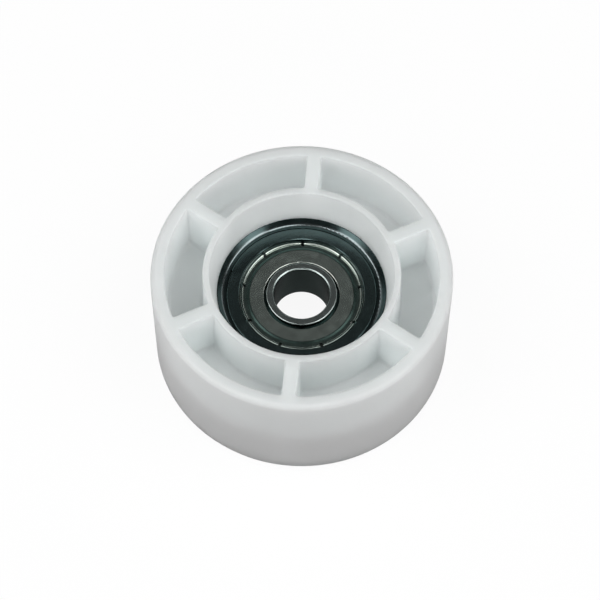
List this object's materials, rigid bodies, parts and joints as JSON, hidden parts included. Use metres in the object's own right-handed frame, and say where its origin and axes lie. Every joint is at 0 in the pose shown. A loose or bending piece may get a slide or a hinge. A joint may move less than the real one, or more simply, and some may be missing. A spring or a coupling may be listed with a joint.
{
  "type": "idler pulley",
  "caption": "Flat-belt idler pulley: a ribbed white plastic wheel on a shielded ball bearing, spinning freely on a stud to guide and tension a drive belt.",
  "frame": {"origin": "centre of the wheel's lower end face", "axes": "+Z along the axle, out of the upper end face; one rib of the wheel lies along +X"},
  "size_m": [0.043, 0.043, 0.0194],
  "materials": {
    "wheel_plastic": "satin milky white",
    "sleeve_steel": "dark polished",
    "ring_steel": "dark ground",
    "shield_steel": "satin",
    "cage_steel": "pressed sheet",
    "ball_steel": "polished"
  },
  "bodies": {
    "inner_ring": {"bearing_inner_ring": "ring_steel"},
    "wheel": {"pulley_wheel": "wheel_plastic", "bearing_sleeve": "sleeve_steel", "bearing_outer_ring": "ring_steel", "shield_upper": "shield_steel", "shield_lower": "shield_steel"},
    "cage": {"cage_upper_half": "cage_steel", "cage_lower_half": "cage_steel", "cage_rivets": "cage_steel"},
    "ball_1": {"ball_1": "ball_steel"},
    "ball_2": {"ball_2": "ball_steel"},
    "ball_3": {"ball_3": "ball_steel"},
    "ball_4": {"ball_4": "ball_steel"},
    "ball_5": {"ball_5": "ball_steel"},
    "ball_6": {"ball_6": "ball_steel"},
    "ball_7": {"ball_7": "ball_steel"}
  },
  "joints": [
    {"name": "wheel_spin", "type": "hinge", "parent": "inner_ring", "child": "wheel", "pos_m": [0, 0, 0.0097], "axis": [0, 0, 1], "continuous": true},
    {"name": "cage_spin", "type": "hinge", "parent": "inner_ring", "child": "cage", "pos_m": [0, 0, 0.0097], "axis": [0, 0, 1], "continuous": true},
    {"name": "ball_1_roll", "type": "hinge", "parent": "cage", "child": "ball_1", "pos_m": [0.0075, 0, 0.0097], "axis": [0, 0, 1], "continuous": true},
    {"name": "ball_2_roll", "type": "hinge", "parent": "cage", "child": "ball_2", "pos_m": [0.00468, 0.00586, 0.0097], "axis": [0, 0, 1], "continuous": true},
    {"name": "ball_3_roll", "type": "hinge", "parent": "cage", "child": "ball_3", "pos_m": [-0.00167, 0.00731, 0.0097], "axis": [0, 0, 1], "continuous": true},
    {"name": "ball_4_roll", "type": "hinge", "parent": "cage", "child": "ball_4", "pos_m": [-0.00676, 0.00325, 0.0097], "axis": [0, 0, 1], "continuous": true},
    {"name": "ball_5_roll", "type": "hinge", "parent": "cage", "child": "ball_5", "pos_m": [-0.00676, -0.00325, 0.0097], "axis": [0, 0, 1], "continuous": true},
    {"name": "ball_6_roll", "type": "hinge", "parent": "cage", "child": "ball_6", "pos_m": [-0.00167, -0.00731, 0.0097], "axis": [0, 0, 1], "continuous": true},
    {"name": "ball_7_roll", "type": "hinge", "parent": "cage", "child": "ball_7", "pos_m": [0.00468, -0.00586, 0.0097], "axis": [0, 0, 1], "continuous": true}
  ],
  "couplings": [
    {"joint": "cage_spin", "follows": "wheel_spin", "ratio": 0.6323},
    {"joint": "ball_1_roll", "follows": "wheel_spin", "ratio": 1.7573},
    {"joint": "ball_2_roll", "follows": "wheel_spin", "ratio": 1.7573},
    {"joint": "ball_3_roll", "follows": "wheel_spin", "ratio": 1.7573},
    {"joint": "ball_4_roll", "follows": "wheel_spin", "ratio": 1.7573},
    {"joint": "ball_5_roll", "follows": "wheel_spin", "ratio": 1.7573},
    {"joint": "ball_6_roll", "follows": "wheel_spin", "ratio": 1.7573},
    {"joint": "ball_7_roll", "follows": "wheel_spin", "ratio": 1.7573}
  ]
}
